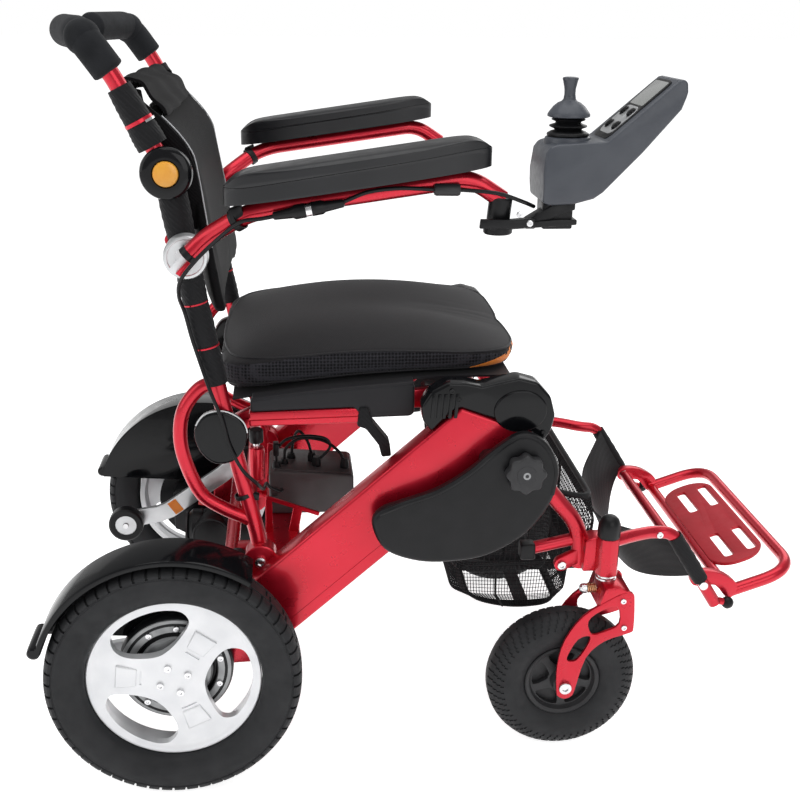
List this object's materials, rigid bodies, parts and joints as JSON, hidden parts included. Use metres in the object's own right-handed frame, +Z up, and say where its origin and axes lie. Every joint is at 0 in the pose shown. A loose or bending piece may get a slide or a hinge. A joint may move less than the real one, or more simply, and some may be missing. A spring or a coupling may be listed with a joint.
{
  "type": "folding power wheelchair",
  "caption": "Folding power wheelchair with battery beams, cushioned seat, armrest joystick control, swivelling front casters and a flip-up footrest.",
  "frame": {"origin": "on the floor under the middle of the chair's overall length and width", "axes": "+X forwards, the way the user faces, +Y to the user's left, +Z up"},
  "size_m": [1.0201, 0.634, 0.9387],
  "materials": {
    "tyre": "matt near-black rubber with moulded tread",
    "cast_rim": "cast light alloy, satin silver-white",
    "red_metal": "bright metallic red, satin gloss",
    "shock_red": "red body with a bright rod",
    "lever_red": "plain red plastic",
    "battery_case": "dark grey case",
    "gloss_cover": "glossy black",
    "matt_cover": "matt black",
    "knob_plastic": "dark grey, fine grained",
    "caster_core": "dark grey five-spoke core",
    "motor_housing": "black coated casting",
    "control_case": "dark grey box",
    "handset_case": "dark blue-grey, satin",
    "key_caps": "black domed keys",
    "soft_boot": "soft black rubber",
    "foam_grip": "black foam sleeve",
    "button_orange": "orange-yellow button",
    "bright_disc": "polished disc",
    "arm_padding": "moulded soft black pad",
    "black_cloth": "woven black cloth",
    "bag_net": "black net with bound edges"
  },
  "bodies": {
    "chassis": {"beam_right": "red_metal", "beam_left": "red_metal", "battery_right": "battery_case", "battery_left": "battery_case", "hinge_cover_right": "gloss_cover", "hinge_cover_left": "gloss_cover", "guard_right": "matt_cover", "guard_left": "matt_cover", "fender_right": "gloss_cover", "fender_left": "gloss_cover", "motor_right": "motor_housing", "motor_left": "motor_housing", "rear_cross": "red_metal", "controller_box": "control_case"},
    "front": {"front_frame": "red_metal", "calf_strap": "black_cloth", "under_seat_bag": "bag_net"},
    "footrest_flap": {"footrest": "red_metal"},
    "back": {"back_frame": "red_metal", "back_upholstery": "black_cloth", "seat_damper": "shock_red", "control_cable": "soft_boot"},
    "seat": {"seat_frame": "red_metal", "seat_sling": "black_cloth", "seat_cushion": "black_cloth"},
    "boot": {"joystick_boot": "soft_boot"},
    "stick": {"joystick": "handset_case"},
    "rear_wheel_right": {"rear_tyre_right": "tyre", "rear_rim_right": "cast_rim"},
    "antitip_right": {"antitip_wheel_right": "knob_plastic"},
    "knob_right": {"star_knob_right": "knob_plastic"},
    "lever_right": {"freewheel_lever_right": "lever_red"},
    "fork_right": {"caster_fork_right": "red_metal"},
    "caster_right": {"caster_tyre_right": "tyre", "caster_hub_right": "caster_core"},
    "push_handle_right": {"handle_right": "red_metal", "grip_right": "foam_grip"},
    "release_right": {"handle_button_right": "button_orange"},
    "arm_right": {"arm_pivot_right": "bright_disc", "arm_tube_right": "red_metal", "arm_pad_right": "arm_padding", "drive_control": "handset_case"},
    "rear_wheel_left": {"rear_tyre_left": "tyre", "rear_rim_left": "cast_rim"},
    "antitip_left": {"antitip_wheel_left": "knob_plastic"},
    "knob_left": {"star_knob_left": "knob_plastic"},
    "lever_left": {"freewheel_lever_left": "lever_red"},
    "fork_left": {"caster_fork_left": "red_metal"},
    "caster_left": {"caster_tyre_left": "tyre", "caster_hub_left": "caster_core"},
    "push_handle_left": {"handle_left": "red_metal", "grip_left": "foam_grip"},
    "release_left": {"handle_button_left": "button_orange"},
    "arm_left": {"arm_pivot_left": "bright_disc", "arm_tube_left": "red_metal", "arm_pad_left": "arm_padding"},
    "button_1": {"key_1": "key_caps"},
    "button_2": {"key_2": "key_caps"},
    "button_3": {"key_3": "key_caps"},
    "button_4": {"key_4": "key_caps"}
  },
  "joints": [
    {"name": "front_fold", "type": "hinge", "parent": "chassis", "child": "front", "pos_m": [0.0923, 0, 0.483], "axis": [0, 1, 0], "range_deg": [0, 30]},
    {"name": "back_fold", "type": "hinge", "parent": "chassis", "child": "back", "pos_m": [-0.2297, 0, 0.279], "axis": [0, 1, 0], "range_deg": [0, 7], "deforming": ["control_cable"]},
    {"name": "seat_fold", "type": "hinge", "parent": "back", "child": "seat", "pos_m": [-0.2637, 0, 0.45], "axis": [0, 1, 0], "range_deg": [-18, 0]},
    {"name": "footrest_flip", "type": "hinge", "parent": "front", "child": "footrest_flap", "pos_m": [0.3633, 0, 0.212], "axis": [0, -1, 0], "range_deg": [0, 85]},
    {"name": "rear_wheel_spin_right", "type": "hinge", "parent": "chassis", "child": "rear_wheel_right", "pos_m": [-0.3387, -0.2885, 0.1585], "axis": [0, 1, 0], "continuous": true},
    {"name": "antitip_spin_right", "type": "hinge", "parent": "chassis", "child": "antitip_right", "pos_m": [-0.4597, -0.1957, 0.1437], "axis": [0, 1, 0], "continuous": true},
    {"name": "star_knob_turn_right", "type": "hinge", "parent": "chassis", "child": "knob_right", "pos_m": [0.0933, -0.284, 0.419], "axis": [0, 1, 0], "continuous": true},
    {"name": "freewheel_lever_right", "type": "hinge", "parent": "chassis", "child": "lever_right", "pos_m": [-0.2967, -0.162, 0.1835], "axis": [0, 0, -1], "range_deg": [0, 90]},
    {"name": "caster_swivel_right", "type": "hinge", "parent": "front", "child": "fork_right", "pos_m": [0.2193, -0.235, 0.2435], "axis": [0, 0, 1], "continuous": true},
    {"name": "caster_spin_right", "type": "hinge", "parent": "fork_right", "child": "caster_right", "pos_m": [0.1653, -0.235, 0.1], "axis": [0, 1, 0], "continuous": true},
    {"name": "handle_fold_right", "type": "hinge", "parent": "back", "child": "push_handle_right", "pos_m": [-0.3217, -0.232, 0.77], "axis": [0, -1, 0], "range_deg": [0, 100]},
    {"name": "handle_button_press_right", "type": "slide", "parent": "push_handle_right", "child": "release_right", "axis": [0, 1, 0], "range_m": [0, 0.003], "stiffness_N_per_m": 400, "springref_m": -0.001},
    {"name": "arm_flip_right", "type": "hinge", "parent": "back", "child": "arm_right", "pos_m": [-0.3037, -0.2193, 0.676], "axis": [0, -1, 0], "range_deg": [0, 100], "deforming": ["control_cable"]},
    {"name": "rear_wheel_spin_left", "type": "hinge", "parent": "chassis", "child": "rear_wheel_left", "pos_m": [-0.3387, 0.2885, 0.1585], "axis": [0, 1, 0], "continuous": true},
    {"name": "antitip_spin_left", "type": "hinge", "parent": "chassis", "child": "antitip_left", "pos_m": [-0.4597, 0.1957, 0.1437], "axis": [0, 1, 0], "continuous": true},
    {"name": "star_knob_turn_left", "type": "hinge", "parent": "chassis", "child": "knob_left", "pos_m": [0.0933, 0.284, 0.419], "axis": [0, 1, 0], "continuous": true},
    {"name": "freewheel_lever_left", "type": "hinge", "parent": "chassis", "child": "lever_left", "pos_m": [-0.2967, 0.162, 0.1835], "axis": [0, 0, 1], "range_deg": [0, 90]},
    {"name": "caster_swivel_left", "type": "hinge", "parent": "front", "child": "fork_left", "pos_m": [0.2193, 0.235, 0.2435], "axis": [0, 0, 1], "continuous": true},
    {"name": "caster_spin_left", "type": "hinge", "parent": "fork_left", "child": "caster_left", "pos_m": [0.1653, 0.235, 0.1], "axis": [0, 1, 0], "continuous": true},
    {"name": "handle_fold_left", "type": "hinge", "parent": "back", "child": "push_handle_left", "pos_m": [-0.3217, 0.232, 0.77], "axis": [0, -1, 0], "range_deg": [0, 100]},
    {"name": "handle_button_press_left", "type": "slide", "parent": "push_handle_left", "child": "release_left", "axis": [0, -1, 0], "range_m": [0, 0.003], "stiffness_N_per_m": 400, "springref_m": -0.001},
    {"name": "arm_flip_left", "type": "hinge", "parent": "back", "child": "arm_left", "pos_m": [-0.3037, 0.2193, 0.676], "axis": [0, -1, 0], "range_deg": [0, 100]},
    {"name": "joystick_fore_aft", "type": "hinge", "parent": "arm_right", "child": "boot", "pos_m": [0.1273, -0.269, 0.819], "axis": [0, 1, 0], "range_deg": [-18, 18], "stiffness_Nm_per_rad": 0.35, "deforming": ["joystick_boot"]},
    {"name": "joystick_sideways", "type": "hinge", "parent": "boot", "child": "stick", "pos_m": [0.1273, -0.269, 0.819], "axis": [1, 0, 0], "range_deg": [-18, 18], "stiffness_Nm_per_rad": 0.35, "deforming": ["joystick_boot"]},
    {"name": "key_press_1", "type": "slide", "parent": "arm_right", "child": "button_1", "axis": [0.6592, 0, -0.7519], "range_m": [0, 0.0015], "stiffness_N_per_m": 300, "springref_m": -0.0005},
    {"name": "key_press_2", "type": "slide", "parent": "arm_right", "child": "button_2", "axis": [0.6592, 0, -0.7519], "range_m": [0, 0.0015], "stiffness_N_per_m": 300, "springref_m": -0.0005},
    {"name": "key_press_3", "type": "slide", "parent": "arm_right", "child": "button_3", "axis": [0.6592, 0, -0.7519], "range_m": [0, 0.0015], "stiffness_N_per_m": 300, "springref_m": -0.0005},
    {"name": "key_press_4", "type": "slide", "parent": "arm_right", "child": "button_4", "axis": [0.6592, 0, -0.7519], "range_m": [0, 0.0015], "stiffness_N_per_m": 300, "springref_m": -0.0005}
  ],
  "couplings": [
    {"joint": "back_fold", "follows": "front_fold", "ratio": 0.2258},
    {"joint": "seat_fold", "follows": "front_fold", "ratio": -0.5816}
  ]
}
